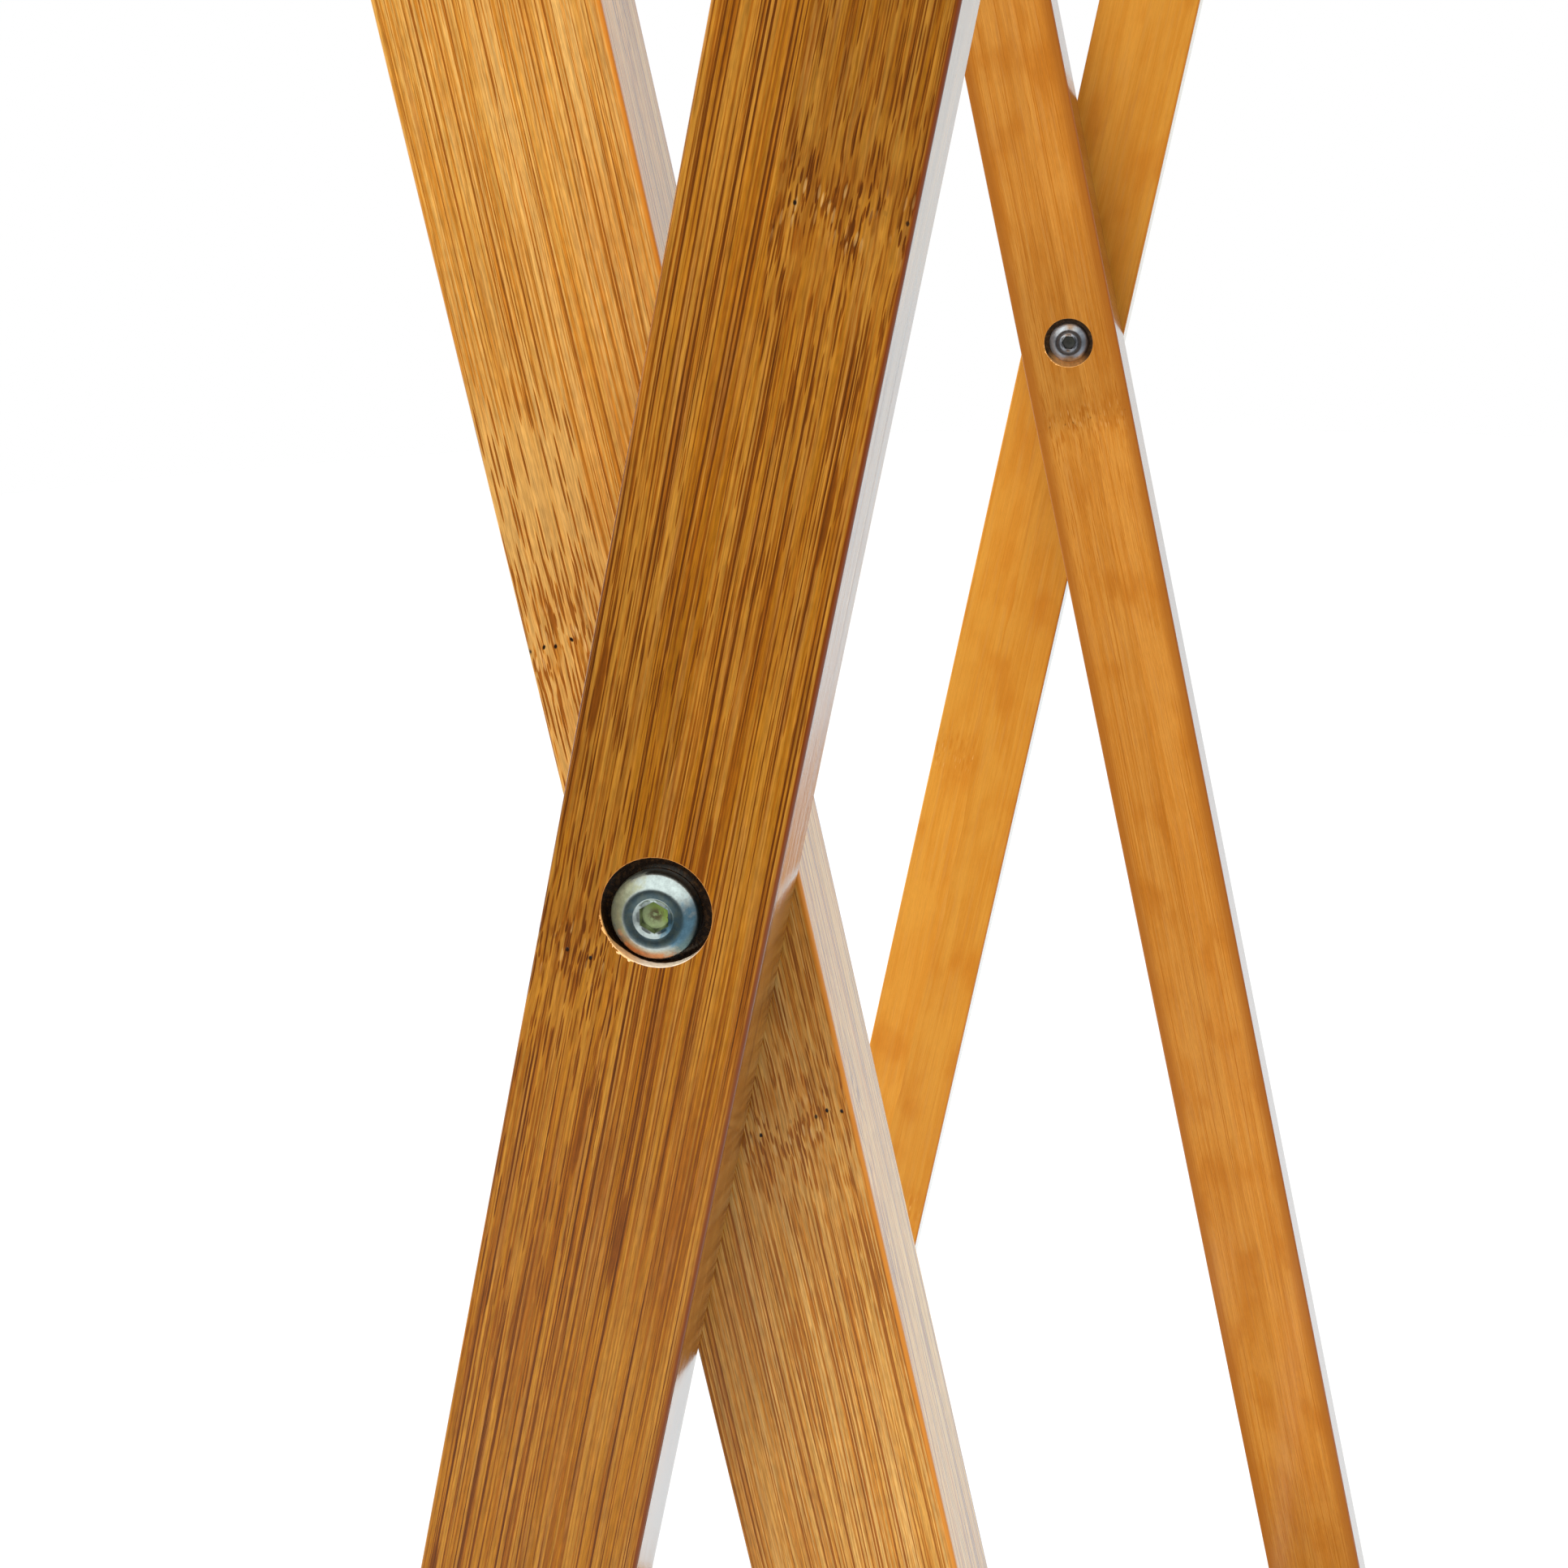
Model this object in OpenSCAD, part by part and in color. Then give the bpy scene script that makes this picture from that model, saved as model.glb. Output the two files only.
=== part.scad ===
/* [Overall] */
// Width over the outer faces of the outer frame
frame_w = 634; // [500:2:800]
// Height of the crossing's axis above the floor
pivot_z = 680; // [640:5:760]
// Lean of each frame from the vertical, in degrees
lean = 12; // [10:0.5:15]

/* [Stiles] */
// Width of a stile, seen from the side of the shelf
stile_w = 30; // [28:1:38]
// Thickness of a stile, along the shelf's width
stile_t = 20; // [18:0.5:26]
// Rounding of a stile's long edges
stile_edge_r = 0.5; // [0.5:0.25:3]
// Radius of the crown on top of each stile
crown_r = 20; // [20:1:40]
// Rise of the stile tops above the top shelf's slats
horn_h = 15; // [8:1:40]
// Gap between an outer stile and the inner stile beside it
stile_gap = 0.7; // [0.6:0.1:2]

/* [Rungs] */
// Diameter of a rung
rung_d = 20; // [18:0.5:24]
// Diameter of the tenon on each end of a rung
tenon_d = 14; // [12:0.5:16]
// Length of the tenon inside its stile
tenon_l = 9; // [6:0.5:9]
// Height of the outer frame's foot rung above the floor
outer_foot_z = 40; // [32:1:46]
// Height of the inner frame's foot rung above the floor
inner_foot_z = 75; // [70:1:95]
// Drop of the inner frame's back rung below the top shelf's hinge
back_drop = 73; // [66:1:85]
// Chamfer where a rung meets its tenon's shoulder
shoulder_chamfer = 1; // [0.5:0.25:2]

/* [Shelves] */
// Rise of the top shelf's hinge above the crossing
top_rise = 650; // [620:2:700]
// Rise of the middle shelf's hinge above the crossing
middle_rise = 350; // [330:2:370]
// Drop of the bottom shelf's hinge below the crossing
bottom_drop = 480; // [460:2:500]
// Height of a shelf's side rail
rail_h = 30; // [26:1:34]
// Thickness of a side rail
rail_t = 15; // [14:0.5:20]
// Gap between a side rail and the inner stile beside it
rail_gap = 1.3; // [1.2:0.1:3]
// Rounding of a side rail's long edges
rail_edge_r = 1; // [0.5:0.25:3]
// Drop of the hook that keeps a side rail on its rung
hook_drop = 8; // [4:0.5:9]
// Thickness of the hook behind the rung
hook_t = 14; // [10:1:20]
// Rounding of the hook's corners
hook_r = 3; // [2:0.5:5]
// Width of a slat
slat_w = 30; // [24:1:32]
// Thickness of a slat
slat_t = 10; // [8:0.5:14]
// Rounding of a slat's long edges
slat_edge_r = 1.5; // [0.5:0.25:3]
// Rounding of a slat's corners, seen from above
slat_corner_r = 4; // [2:0.5:8]
// Setback of the first slat from the round end of a side rail
slat_setback = 10; // [9:0.5:14]
// Number of slats on the top shelf
top_slats = 8; // [6:1:8]
// Number of slats on the middle shelf
middle_slats = 5; // [4:1:5]
// Number of slats on the bottom shelf
bottom_slats = 7; // [5:1:7]

/* [Hardware] */
// Diameter of a bolt's shank
bolt_d = 6; // [5:0.5:7]
// Diameter of the heads of bolts and sleeve nuts
head_d = 12; // [11:0.5:13]
// Height of a head's straight rim
head_rim = 2.2; // [1.8:0.2:2.6]
// Rise of a head's sloped ring above its rim
head_slope = 1.2; // [0.8:0.2:1.6]
// Diameter of a head's flat top, inside the sloped ring
head_flat_d = 7.8; // [7:0.2:9]
// Size of the hexagon socket across its flats
socket_af = 4; // [3:0.5:5]
// Depth of the hexagon socket
socket_depth = 1.8; // [1.4:0.2:2.4]
// Width of the chamfer round the socket's mouth
socket_chamfer = 0.35; // [0.2:0.05:0.5]
// Chamfer on the tip of a bolt
tip_chamfer = 0.8; // [0.4:0.1:1.2]
// Diameter of the counterbores round the heads
counterbore_d = 15; // [14:0.5:16]
// Depth of a stile bolt's head below the wood
head_recess = 0.2; // [0.2:0.2:2]
// Depth of a sleeve nut's head below the face of a side rail
rail_recess = 1; // [0.5:0.5:2]
// Outside diameter of a sleeve nut's sleeve
sleeve_d = 8; // [7.5:0.25:9]
// Reach of a pivot or hinge bolt into its sleeve
pivot_bolt_l = 18; // [14:1:20]
// Reach of a rung bolt from under its head
rung_bolt_l = 45; // [40:1:55]
// Distance of a cross nut from the shoulder of its rung
cross_nut_in = 25; // [18:1:28]
// Diameter of a cross nut
cross_nut_d = 10; // [9:0.5:11]
// Length of a cross nut
cross_nut_l = 14; // [12:0.5:15]
// Outside diameter of the slip washers
washer_d = 20; // [16:1:24]
// Thickness of the washers at the crossing
pivot_washer_t = 0.5; // [0.3:0.1:0.5]
// Thickness of the washers at the shelf hinges
hinge_washer_t = 1.1; // [0.8:0.1:1.1]
// Diameter of a slat screw's shank
screw_d = 3.5; // [3:0.25:4]
// Diameter of a slat screw's countersunk head
screw_head_d = 7; // [6:0.5:8]
// Length of a slat screw
screw_l = 25; // [22:1:30]

/* [Feet] */
// Diameter of a foot glide
foot_d = 18; // [14:1:18]
// Thickness of a foot glide
foot_t = 4; // [3:0.5:6]
// Rounding of a foot glide's lower edge
foot_r = 1.5; // [0.5:0.25:2]
// Diameter of the pin that holds a glide
foot_pin_d = 4; // [3:0.5:5]
// Length of the pin that holds a glide
foot_pin_l = 14; // [8:1:18]

/* [Clearances] */
// Running clearance round sleeves, on the radius
run_clearance = 0.05; // [0.03:0.01:0.08]
// Fitting clearance round tenons, nuts, pins and screws, on the radius
fit_clearance = 0.05; // [0.03:0.01:0.1]
// Clearance round a bolt's shank in wood, on the radius
shank_clearance = 0.25; // [0.1:0.05:0.4]
// Clearance between a side rail and the rung that it rests on
rest_clearance = 0.3; // [0.2:0.05:0.5]

/* [Hidden] */
$fn = 96;
SHELF_NAMES = ["top", "middle", "bottom"];
RISES = [top_rise, middle_rise, -bottom_drop];
SLATS = [top_slats, middle_slats, bottom_slats];

// Faces of the stiles and side rails, as distances from the middle of the shelf
outer_face = frame_w / 2;
outer_inside = outer_face - stile_t;
inner_face = outer_inside - stile_gap;
inner_inside = inner_face - stile_t;
rail_face = inner_inside - rail_gap;
rail_inside = rail_face - rail_t;

// Heads, their seats and the bores that pass them
head_h = head_rim + head_slope;
seat = head_recess + head_h;
rail_seat = rail_recess + head_h;
sleeve_bore_d = sleeve_d + 2 * run_clearance;
shank_bore_d = bolt_d + 2 * shank_clearance;
thread_bore_d = bolt_d + 2 * fit_clearance;
end_clearance = 1;

// Places along a leaning stile, measured from the crossing
function along(rise) = rise / cos(lean);
stile_rise = top_rise + rail_h / 2 + slat_t + horn_h;
stile_top = along(stile_rise - crown_r) + crown_r;
stile_foot = along(pivot_z) + stile_w;
rest_h = -(rail_h / 2 + rung_d / 2 + rest_clearance);
OUTER_RUNGS = [along(outer_foot_z - pivot_z), for (rise = RISES) along(rise + rest_h)];
INNER_RUNGS = [along(inner_foot_z - pivot_z), along(top_rise - back_drop)];
HINGES = [for (rise = RISES) along(rise)];
foot_y = (pivot_z - foot_t) * tan(lean);

// A shelf's own measures, from its hinge towards its free end
function rest_s(rise) = abs(2 * rise + rest_h) * tan(lean);
function rail_l(rise) = rest_s(rise) + rung_d / 2 + rest_clearance + hook_t;
function slat_s(k, i) = let(first = slat_setback - rail_h / 2 + slat_w / 2)
    first + (i - 1) * (rail_l(RISES[k]) - slat_w / 2 - first) / (SLATS[k] - 1);
rail_mid = (rail_face + rail_inside) / 2;

// Stands a frame's own axes at the crossing, leaning by an angle towards -Y
module leaning(angle) translate([0, 0, pivot_z]) rotate([angle, 0, 0]) children();

// Puts a shelf's own axes on its hinge, with +Y towards its free end
module at_hinge(rise)
    translate([0, rise * tan(lean), pivot_z + rise])
        mirror([0, rise > 0 ? 1 : 0, 0])
            children();

// Draws its children on the right and mirrored on the left
module both_sides() for (side = [0, 1]) mirror([side, 0, 0]) children();

// Keeps a piece on the right, or mirrors it to the left
module on_side(left) mirror([left ? 1 : 0, 0, 0]) children();

// A cylinder along X between two distances from the middle
module x_rod(d, x0, x1, z = 0)
    translate([x0, 0, z]) rotate([0, 90, 0]) cylinder(d = d, h = x1 - x0);

// A rectangle with rounded corners
module rounded_rect(w, h, r) {
    square([w - 2 * r, h], center = true);
    square([w, h - 2 * r], center = true);
    for (x = [-1, 1], y = [-1, 1])
        translate([x * (w / 2 - r), y * (h / 2 - r)]) circle(r);
}

// What is left outside the rounding of a corner that points to +X and +Y
module corner_waste(r) difference() {
    translate([-r, -r]) square(2 * r);
    translate([-r, -r]) circle(r);
}

// A low flat-topped head on +Z with its seat at the origin
module head_blank() {
    cylinder(d = head_d, h = head_rim);
    translate([0, 0, head_rim]) cylinder(d1 = head_d, d2 = head_flat_d, h = head_slope);
}

// The hexagon socket in a head's top, with a chamfered mouth
module socket() {
    mouth_d = socket_af / cos(30) + 2 * socket_chamfer;
    translate([0, 0, head_h - socket_depth])
        cylinder(d = socket_af / cos(30), h = socket_depth + 1, $fn = 6);
    translate([0, 0, head_h - 2 * socket_chamfer])
        cylinder(d1 = mouth_d - 4 * socket_chamfer, d2 = mouth_d, h = 2 * socket_chamfer);
}

// A bolt with its head on +Z and its shank below the seat
module bolt(reach) difference() {
    union() {
        head_blank();
        translate([0, 0, tip_chamfer - reach]) cylinder(d = bolt_d, h = reach - tip_chamfer);
        translate([0, 0, -reach])
            cylinder(d1 = bolt_d - 2 * tip_chamfer, d2 = bolt_d, h = tip_chamfer);
    }
    socket();
}

// A sleeve nut with its head on +Z and its threaded sleeve below the seat
module sleeve_nut(reach) difference() {
    union() {
        head_blank();
        translate([0, 0, -reach]) cylinder(d = sleeve_d, h = reach);
    }
    socket();
    translate([0, 0, -reach - 1]) cylinder(d = thread_bore_d, h = reach + 1);
}

// Faces a head's +Z outwards along X, with its seat at a distance from the middle
module heads_out(seat_x, z = 0) translate([seat_x, 0, z]) rotate([0, 90, 0]) children();

// Faces a head's +Z inwards along X, with its seat at a distance from the middle
module heads_in(seat_x, z = 0) translate([seat_x, 0, z]) rotate([0, -90, 0]) children();

// A right-hand stile before it is cut to the floor, on its frame's own axes
module stile_blank(face, rungs) difference() {
    intersection() {
        translate([face - stile_t / 2, 0, -stile_foot])
            linear_extrude(stile_foot + stile_top)
                rounded_rect(stile_t, stile_w, stile_edge_r);
        union() {
            translate([face - 2 * stile_t, -stile_w, -2 * stile_foot])
                cube([3 * stile_t, 2 * stile_w, 2 * stile_foot + stile_top - crown_r]);
            x_rod(2 * crown_r, face - 2 * stile_t, face + stile_t, stile_top - crown_r);
        }
    }
    for (z = rungs) {
        x_rod(tenon_d + 2 * fit_clearance, face - stile_t - 1, face - stile_t + tenon_l, z);
        x_rod(shank_bore_d, face - stile_t - 1, face + 1, z);
        x_rod(counterbore_d, face - seat, face + 1, z);
    }
}

// What lies below the stiles, and the bores of the glides' pins
module foot_waste(y) {
    translate([0, y - 4 * stile_w, -4 * stile_w])
        cube([frame_w, 8 * stile_w, 4 * stile_w + foot_t]);
    for (face = [outer_face, inner_face])
        translate([face - stile_t / 2, y, 0])
            cylinder(d = foot_pin_d + 2 * fit_clearance, h = foot_t + foot_pin_l + end_clearance);
}

module outer_stile(left) color("peru") on_side(left) difference() {
    leaning(lean) difference() {
        stile_blank(outer_face, OUTER_RUNGS);
        x_rod(sleeve_bore_d, outer_inside - 1, outer_face + 1);
        x_rod(counterbore_d, outer_face - seat, outer_face + 1);
    }
    foot_waste(foot_y);
}

module inner_stile(left) color("burlywood") on_side(left) difference() {
    leaning(-lean) difference() {
        stile_blank(inner_face, INNER_RUNGS);
        x_rod(sleeve_bore_d, inner_inside - 1, inner_face + 1);
        x_rod(counterbore_d, inner_inside - 1, inner_inside + seat);
        for (z = HINGES) {
            x_rod(sleeve_bore_d, inner_inside - 1, inner_face + 1, z);
            x_rod(counterbore_d, inner_face - seat, inner_face + 1, z);
        }
    }
    foot_waste(-foot_y);
}

// One end of a rung: its tenon and its shoulder's chamfer
module rung_end(shoulder) translate([shoulder, 0, 0]) rotate([0, 90, 0]) {
    translate([0, 0, -shoulder_chamfer])
        cylinder(d1 = rung_d, d2 = rung_d - 2 * shoulder_chamfer, h = shoulder_chamfer);
    cylinder(d = tenon_d, h = tenon_l - end_clearance / 2);
}

// A rung between two stiles' inside faces, with the bores of its bolts and cross nuts
module rung(shoulder) difference() {
    union() {
        x_rod(rung_d, shoulder_chamfer - shoulder, shoulder - shoulder_chamfer);
        both_sides() rung_end(shoulder);
    }
    both_sides() {
        x_rod(shank_bore_d, shoulder - seat_to_tip(), shoulder + tenon_l);
        translate([shoulder - cross_nut_in, 0, -rung_d])
            cylinder(d = cross_nut_d + 2 * fit_clearance, h = rung_d + cross_nut_l / 2 + fit_clearance);
    }
}

// How far a rung's bore runs in from its shoulder, past the tip of its bolt
function seat_to_tip() = rung_bolt_l - (stile_t - seat) + end_clearance;

module outer_rung(z) color("sandybrown") leaning(lean) translate([0, 0, z]) rung(outer_inside);

module inner_rung(z) color("burlywood") leaning(-lean) translate([0, 0, z]) rung(inner_inside);

module rung_bolts(angle, face, rungs) color("silver") leaning(angle)
    for (z = rungs) both_sides() heads_out(face - seat, z) bolt(rung_bolt_l);

// Cross nuts: short barrels across the rungs, each tapped for its bolt
module cross_nuts(angle, shoulder, rungs) color("gray") leaning(angle)
    for (z = rungs) both_sides() difference() {
        translate([shoulder - cross_nut_in, 0, z - cross_nut_l / 2])
            cylinder(d = cross_nut_d, h = cross_nut_l);
        x_rod(thread_bore_d, shoulder - cross_nut_in - cross_nut_d,
            shoulder - cross_nut_in + cross_nut_d, z);
    }

// Glides under the stiles, each with a pin up into the wood
module feet(face, y) color("dimgray")
    both_sides() translate([face - stile_t / 2, y, 0]) rotate_extrude() {
        difference() {
            square([foot_d / 2, foot_t]);
            translate([foot_d / 2, 0]) mirror([0, 1]) corner_waste(foot_r);
        }
        square([foot_pin_d / 2, foot_t + foot_pin_l]);
    }

module pivot_bolts() color("silver") leaning(lean)
    both_sides() heads_out(outer_face - seat) bolt(pivot_bolt_l);

module pivot_sleeve_nuts() color("silver") leaning(lean)
    both_sides() heads_in(inner_inside + seat)
        sleeve_nut(outer_face - inner_inside - 2 * seat - end_clearance);

// A slip washer round a sleeve, in the middle of a gap
module slip_washer(x0, x1, t) difference() {
    x_rod(washer_d, (x0 + x1 - t) / 2, (x0 + x1 + t) / 2);
    x_rod(sleeve_bore_d, x0 - 1, x1 + 1);
}

module pivot_washers() color("whitesmoke") leaning(lean)
    both_sides() slip_washer(inner_face, outer_inside, pivot_washer_t);

module hinge_bolts(rise) color("silver") at_hinge(rise)
    both_sides() heads_out(inner_face - seat) bolt(pivot_bolt_l);

module hinge_sleeve_nuts(rise) color("silver") at_hinge(rise)
    both_sides() heads_in(rail_inside + rail_seat)
        sleeve_nut(inner_face - rail_inside - seat - rail_seat - end_clearance);

module hinge_washers(rise) color("whitesmoke") at_hinge(rise)
    both_sides() slip_washer(rail_face, inner_inside, hinge_washer_t);

// A bar of a rail's height and thickness with rounded long edges, centred on the hinge
module rail_bar(y0, y1, z = 0)
    translate([rail_mid, y1, z]) rotate([90, 0, 0]) linear_extrude(y1 - y0)
        rounded_rect(rail_t, rail_h, rail_edge_r);

// A rail before it is bored: round at its hinge, with a hook behind its rung
module rail_blank(rise) difference() {
    union() {
        rail_bar(0, rail_l(rise));
        intersection() {
            rail_bar(-rail_h, 1);
            x_rod(rail_h, rail_inside - 1, rail_face + 1);
        }
        rail_bar(rest_s(rise), rail_l(rise), -hook_drop);
    }
    translate([rail_inside - 1, 0, 0]) rotate([90, 0, 90]) linear_extrude(rail_t + 2) {
        translate([rest_s(rise), rest_h]) circle(rung_d / 2 + rest_clearance);
        translate([rail_l(rise), rail_h / 2]) corner_waste(hook_r);
        translate([rail_l(rise), -rail_h / 2 - hook_drop]) mirror([0, 1]) corner_waste(hook_r);
    }
}

module rail(k, left) color("burlywood") at_hinge(RISES[k]) on_side(left) difference() {
    rail_blank(RISES[k]);
    x_rod(sleeve_bore_d, rail_inside - 1, rail_face + 1);
    x_rod(counterbore_d, rail_inside - 1, rail_inside + rail_seat);
    for (i = [1:SLATS[k]]) at_screw(k, i) screw_bore();
}

// Puts a slat screw's own axes on top of its slat, over the right-hand rail
module at_screw(k, i) translate([rail_mid, slat_s(k, i), rail_h / 2 + slat_t]) children();

// A countersunk screw pointing down from its flush head
module screw(extra) {
    head_taper = (screw_head_d - screw_d) / 2;
    translate([0, 0, -head_taper - extra])
        cylinder(d1 = screw_d + 2 * extra, d2 = screw_head_d + 2 * extra, h = head_taper + extra);
    translate([0, 0, -screw_l]) cylinder(d = screw_d + 2 * extra, h = screw_l - head_taper);
    translate([0, 0, -screw_l - screw_d / 2])
        cylinder(d1 = 1, d2 = screw_d + 2 * extra, h = screw_d / 2);
}

// The hole for a screw in its slat and its rail
module screw_bore() {
    screw(fit_clearance);
    translate([0, 0, -screw_l - screw_d]) cylinder(d = screw_d + 2 * fit_clearance, h = screw_l);
}

module slat(k, i) color("burlywood") at_hinge(RISES[k]) difference() {
    translate([0, slat_s(k, i), rail_h / 2 + slat_t / 2]) intersection() {
        rotate([0, 90, 0]) linear_extrude(2 * rail_face, center = true)
            rounded_rect(slat_t, slat_w, slat_edge_r);
        linear_extrude(2 * slat_t, center = true)
            rounded_rect(2 * rail_face, slat_w, slat_corner_r);
    }
    both_sides() at_screw(k, i) screw_bore();
}

module slat_screws(k) color("silver") at_hinge(RISES[k])
    for (i = [1:SLATS[k]]) both_sides() at_screw(k, i) screw(0);

outer_stile(true);  // outer_stile_left
outer_stile(false);  // outer_stile_right
outer_rung(OUTER_RUNGS[0]);  // outer_foot_rung
outer_rung(OUTER_RUNGS[1]);  // top_rest_rung
outer_rung(OUTER_RUNGS[2]);  // middle_rest_rung
outer_rung(OUTER_RUNGS[3]);  // bottom_rest_rung
rung_bolts(lean, outer_face, OUTER_RUNGS);  // outer_rung_bolts
cross_nuts(lean, outer_inside, OUTER_RUNGS);  // outer_cross_nuts
feet(outer_face, foot_y);  // outer_feet
inner_stile(true);  // inner_stile_left
inner_stile(false);  // inner_stile_right
inner_rung(INNER_RUNGS[0]);  // inner_foot_rung
inner_rung(INNER_RUNGS[1]);  // back_rung
rung_bolts(-lean, inner_face, INNER_RUNGS);  // inner_rung_bolts
cross_nuts(-lean, inner_inside, INNER_RUNGS);  // inner_cross_nuts
feet(inner_face, -foot_y);  // inner_feet
pivot_bolts();
pivot_sleeve_nuts();
pivot_washers();
for (k = [0:2]) {
    rail(k, true);
    rail(k, false);
    hinge_bolts(RISES[k]);
    hinge_sleeve_nuts(RISES[k]);
    hinge_washers(RISES[k]);
    slat_screws(k);
    for (i = [1:SLATS[k]])
        slat(k, i);
}
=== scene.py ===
"""A folding ladder shelf in laminated bamboo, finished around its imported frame."""
import math
import random

import bmesh
import bpy
from mathutils import Matrix, Vector


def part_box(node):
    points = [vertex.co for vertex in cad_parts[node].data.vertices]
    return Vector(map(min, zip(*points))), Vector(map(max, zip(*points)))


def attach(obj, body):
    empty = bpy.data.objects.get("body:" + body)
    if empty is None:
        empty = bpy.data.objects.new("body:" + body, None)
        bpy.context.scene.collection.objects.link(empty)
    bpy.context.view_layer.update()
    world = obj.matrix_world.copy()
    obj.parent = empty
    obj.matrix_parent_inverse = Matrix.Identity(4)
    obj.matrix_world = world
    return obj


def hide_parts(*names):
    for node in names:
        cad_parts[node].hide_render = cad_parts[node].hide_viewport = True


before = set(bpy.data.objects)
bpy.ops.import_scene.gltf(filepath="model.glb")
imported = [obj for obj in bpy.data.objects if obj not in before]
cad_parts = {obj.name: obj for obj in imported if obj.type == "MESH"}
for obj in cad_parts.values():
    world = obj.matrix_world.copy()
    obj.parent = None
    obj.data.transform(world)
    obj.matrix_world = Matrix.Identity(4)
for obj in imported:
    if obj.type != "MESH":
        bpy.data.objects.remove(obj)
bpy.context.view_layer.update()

MM = 0.001


def centre(node):
    """The middle of a CAD node's box."""
    low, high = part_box(node)
    return (low + high) / 2


# The crossing of the two frames, and how far each leans from the vertical
CROSSING = centre("pivot_washers")
OUTER_FOOT = centre("outer_foot_rung") - CROSSING
LEAN = math.atan2(OUTER_FOOT.y, -OUTER_FOOT.z)

# The rungs of each frame, and the shelves with their numbers of slats
OUTER_RUNGS = ("outer_foot_rung", "bottom_rest_rung", "middle_rest_rung", "top_rest_rung")
INNER_RUNGS = ("inner_foot_rung", "back_rung")
SHELVES = {"top": 8, "middle": 5, "bottom": 7}
SIDES = ("left", "right")

# Stiles and their counterbores, in millimetres
STILE_HALF = 15.0
COUNTERBORE_R = 7.5

# Bolt and sleeve nut heads, in millimetres. A pivot bolt hangs a little off its bore's middle.
HEAD_R = 6.0
HEAD_RIM = 2.2
HEAD_H = 3.4
HEAD_FLAT_R = 4.05
HEAD_SLACK = Vector((0.0, 0.5, -0.95))
SOCKET_FLATS_R = 2.0
SOCKET_DEPTH = 1.8
SOCKET_CONE = 0.3
SOCKET_CONE_R = 1.2
SOCKET_MOUTH_R = 2.31
SOCKET_LIP_R = 2.68
SOCKET_RIM_R = 2.78

# Shanks and sleeves, in millimetres
BOLT_R = 3.0
BOLT_TIP = 0.8
SLEEVE_R = 4.0
SLEEVE_EDGE = 0.4
THREAD_R = 3.05
THREAD_END = 2.0
PIVOT_REACH = 18.0
RUNG_REACH = 45.0

# Slat screws, in millimetres
SCREW_HEAD_R = 3.5
SCREW_R = 1.75
SCREW_L = 25.0
RECESS_R = 2.0
RECESS_DEPTH = 2.1

# Foot glides, in millimetres, with a shallow hollow below
FOOT_R = 9.0
FOOT_T = 4.0
FOOT_HOLLOW = 0.25
FOOT_HOLLOW_R = 5.2
FOOT_PIN_R = 2.0
FOOT_PIN_L = 14.0

# Bamboo, in millimetres: a layer's thickness, the spacing of knuckles and their shift from
# one layer to the next, how far a seam wanders, and how far apart two pieces' fibres are taken
LAYER_T = 6.6
KNUCKLE_SPACING = 420.0
LAYER_SHIFT = 157.0
SEAM_WANDER = 7.0
PIECE_SHIFT = 700.0

# The share of a place's depth that is added to its place across the grain
DEPTH_FOLD = 0.83

# Distances from a knuckle between which its effects fade out, in millimetres
NEAR_KNUCKLE = (20, 7)
KNUCKLE_CORE = (6.5, 2.0)
BRUISE_REACH = (10, 4)
GLINT_REACH = (6.0, 2.0)
SHORT_REACH = (85, 45)

# Changes of tone along the grain: sizes across and along in millimetres, seed and detail
GRAIN_NOISES = {
    "broad": dict(periods=(2.6, 170), seed=11, detail=3, rough=0.6),
    "fine": dict(periods=(0.50, 60), seed=12, detail=3, rough=0.65),
    "hair": dict(periods=(0.20, 16), seed=13, detail=1),
    "dusk": dict(periods=(1.2, 26), seed=14),
    "cloud": dict(periods=(11, 24), seed=15),
}

# Fibres and scars: width, length and gap in millimetres, seed, and the faintest one's strength
GRAIN_MARKS = {
    "thick": dict(width=0.30, length=75, gap=1.25, seed=16),
    "thin": dict(width=0.17, length=38, gap=0.80, seed=17),
    "light": dict(width=0.26, length=46, gap=1.60, seed=18),
    "dashes": dict(width=0.27, length=7.2, gap=1.30, seed=19, least=0.8),
    "flakes": dict(width=0.27, length=6.0, gap=0.95, seed=20, least=0.5),
    "chips": dict(width=0.30, length=2.2, gap=1.05, seed=21, least=0.5),
    "flecks": dict(width=0.32, length=1.9, gap=2.00, seed=22, least=0.0),
    "smear": dict(width=1.1, length=15, gap=60, seed=23),
    "bruise": dict(width=1.0, length=4.2, gap=2.6, seed=26, least=0.3),
}

# Small holes in a knuckle, in millimetres
HOLE_R = (0.31, 0.15)
HOLE_SCATTER = 2.2


# ---------------------------------------------------------------- node helpers

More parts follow.
